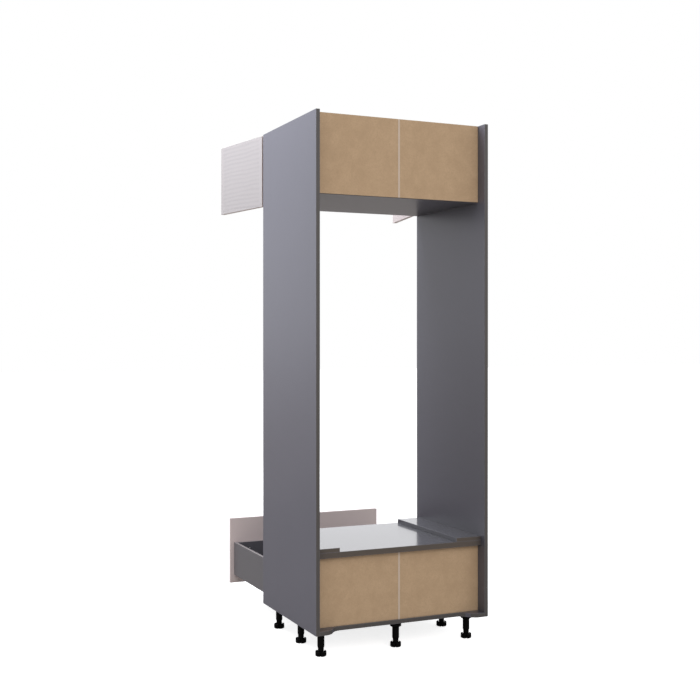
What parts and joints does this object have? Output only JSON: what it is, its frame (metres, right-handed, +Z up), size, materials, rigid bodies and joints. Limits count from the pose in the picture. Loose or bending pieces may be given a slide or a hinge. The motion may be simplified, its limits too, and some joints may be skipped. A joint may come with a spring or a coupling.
{
  "type": "tall oven housing unit",
  "caption": "Tall kitchen housing for a built-in oven, open front and back at oven height, with a hinged-door cupboard above, a deep drawer below and adjustable legs.",
  "frame": {"origin": "on the floor, under the middle of the carcass", "axes": "+Z up, the doors face -Y, +X to the right-hand side as seen from the front"},
  "size_m": [0.8996, 1.0685, 2.116],
  "materials": {
    "carcass_board": "smooth melamine faced board, medium-dark grey, satin",
    "back_board": "bare tan fibreboard, faintly mottled",
    "strip_plastic": "beige extruded plastic",
    "batten_board": "smooth melamine faced board, medium-dark grey, satin",
    "screw_steel": "zinc plated steel",
    "dowel_wood": "plain beech",
    "cam_metal": "die cast",
    "leg_plastic": "black moulded plastic",
    "hinge_steel": "nickel plated steel",
    "runner_steel": "zinc plated steel",
    "front_board": "pale board with a faint wavy grain outside",
    "drawer_board": "smooth melamine faced board, medium-dark grey, satin"
  },
  "bodies": {
    "carcass": {"right_side_panel": "carcass_board", "left_side_panel": "carcass_board", "bottom_board": "carcass_board", "oven_shelf": "carcass_board", "cupboard_floor": "carcass_board", "top_board": "carcass_board", "upper_back_right": "back_board", "upper_back_left": "back_board", "lower_back_right": "back_board", "lower_back_left": "back_board", "upper_back_strip": "strip_plastic", "lower_back_strip": "strip_plastic", "right_oven_batten": "batten_board", "left_oven_batten": "batten_board", "batten_screws": "screw_steel", "carcass_dowels": "dowel_wood", "carcass_cams": "cam_metal", "carcass_cam_bolts": "screw_steel", "leg_socket_front_right": "leg_plastic", "leg_socket_front_middle": "leg_plastic", "leg_socket_front_left": "leg_plastic", "leg_socket_middle_right": "leg_plastic", "leg_socket_middle_left": "leg_plastic", "leg_socket_rear_right": "leg_plastic", "leg_socket_rear_middle": "leg_plastic", "leg_socket_rear_left": "leg_plastic", "leg_socket_screws": "screw_steel", "right_hinge_arms": "hinge_steel", "left_hinge_arms": "hinge_steel", "hinge_arm_screws": "screw_steel", "right_cabinet_runner": "runner_steel", "left_cabinet_runner": "runner_steel", "runner_screws": "screw_steel"},
    "foot_front_right": {"leg_foot_front_right": "leg_plastic"},
    "foot_front_middle": {"leg_foot_front_middle": "leg_plastic"},
    "foot_front_left": {"leg_foot_front_left": "leg_plastic"},
    "foot_middle_right": {"leg_foot_middle_right": "leg_plastic"},
    "foot_middle_left": {"leg_foot_middle_left": "leg_plastic"},
    "foot_rear_right": {"leg_foot_rear_right": "leg_plastic"},
    "foot_rear_middle": {"leg_foot_rear_middle": "leg_plastic"},
    "foot_rear_left": {"leg_foot_rear_left": "leg_plastic"},
    "right_door": {"right_door": "front_board", "right_hinge_cups": "hinge_steel"},
    "right_swing_links": {"right_swing_links": "hinge_steel"},
    "right_tie_links": {"right_tie_links": "hinge_steel"},
    "left_door": {"left_door": "front_board", "left_hinge_cups": "hinge_steel"},
    "left_swing_links": {"left_swing_links": "hinge_steel"},
    "left_tie_links": {"left_tie_links": "hinge_steel"},
    "drawer": {"drawer_front": "front_board", "drawer_box_front": "drawer_board", "drawer_box_back": "drawer_board", "drawer_base": "drawer_board", "right_drawer_side": "drawer_board", "left_drawer_side": "drawer_board", "right_drawer_runner": "runner_steel", "left_drawer_runner": "runner_steel", "drawer_front_screws": "screw_steel"},
    "right_middle_runner": {"right_middle_runner": "runner_steel"},
    "left_middle_runner": {"left_middle_runner": "runner_steel"}
  },
  "joints": [
    {"name": "foot_height_front_right", "type": "slide", "parent": "carcass", "child": "foot_front_right", "axis": [0, 0, -1], "range_m": [0, 0.02]},
    {"name": "foot_height_front_middle", "type": "slide", "parent": "carcass", "child": "foot_front_middle", "axis": [0, 0, -1], "range_m": [0, 0.02]},
    {"name": "foot_height_front_left", "type": "slide", "parent": "carcass", "child": "foot_front_left", "axis": [0, 0, -1], "range_m": [0, 0.02]},
    {"name": "foot_height_middle_right", "type": "slide", "parent": "carcass", "child": "foot_middle_right", "axis": [0, 0, -1], "range_m": [0, 0.02]},
    {"name": "foot_height_middle_left", "type": "slide", "parent": "carcass", "child": "foot_middle_left", "axis": [0, 0, -1], "range_m": [0, 0.02]},
    {"name": "foot_height_rear_right", "type": "slide", "parent": "carcass", "child": "foot_rear_right", "axis": [0, 0, -1], "range_m": [0, 0.02]},
    {"name": "foot_height_rear_middle", "type": "slide", "parent": "carcass", "child": "foot_rear_middle", "axis": [0, 0, -1], "range_m": [0, 0.02]},
    {"name": "foot_height_rear_left", "type": "slide", "parent": "carcass", "child": "foot_rear_left", "axis": [0, 0, -1], "range_m": [0, 0.02]},
    {"name": "right_door_hinge", "type": "hinge", "parent": "carcass", "child": "right_door", "pos_m": [0.3795, -0.3185, 1.96175], "axis": [0, 0, 1], "range_deg": [-99.9, 5.1]},
    {"name": "right_swing_pivot", "type": "hinge", "parent": "carcass", "child": "right_swing_links", "pos_m": [0.3575, -0.2945, 1.96175], "axis": [0, 0, 1], "range_deg": [-99.9, 5.1]},
    {"name": "right_tie_pivot", "type": "hinge", "parent": "right_swing_links", "child": "right_tie_links", "pos_m": [0.34784, -0.32055, 1.96175], "axis": [0, 0, 1], "range_deg": [-5.1, 99.9]},
    {"name": "left_door_hinge", "type": "hinge", "parent": "carcass", "child": "left_door", "pos_m": [-0.3795, -0.3185, 1.96175], "axis": [0, 0, -1], "range_deg": [-101.6, 3.4]},
    {"name": "left_swing_pivot", "type": "hinge", "parent": "carcass", "child": "left_swing_links", "pos_m": [-0.3575, -0.2945, 1.96175], "axis": [0, 0, -1], "range_deg": [-101.6, 3.4]},
    {"name": "left_tie_pivot", "type": "hinge", "parent": "left_swing_links", "child": "left_tie_links", "pos_m": [-0.34861, -0.32083, 1.96175], "axis": [0, 0, -1], "range_deg": [-3.4, 101.6]},
    {"name": "drawer_slide", "type": "slide", "parent": "carcass", "child": "drawer", "axis": [0, -1, 0], "range_m": [-0.452, 0]},
    {"name": "right_middle_runner_slide", "type": "slide", "parent": "carcass", "child": "right_middle_runner", "axis": [0, -1, 0], "range_m": [-0.226, 0]},
    {"name": "left_middle_runner_slide", "type": "slide", "parent": "carcass", "child": "left_middle_runner", "axis": [0, -1, 0], "range_m": [-0.226, 0]}
  ],
  "couplings": [
    {"joint": "right_swing_pivot", "follows": "right_door_hinge", "ratio": 1},
    {"joint": "right_tie_pivot", "follows": "right_door_hinge", "ratio": -1},
    {"joint": "left_swing_pivot", "follows": "left_door_hinge", "ratio": 1},
    {"joint": "left_tie_pivot", "follows": "left_door_hinge", "ratio": -1},
    {"joint": "right_middle_runner_slide", "follows": "drawer_slide", "ratio": 0.5},
    {"joint": "left_middle_runner_slide", "follows": "drawer_slide", "ratio": 0.5}
  ]
}
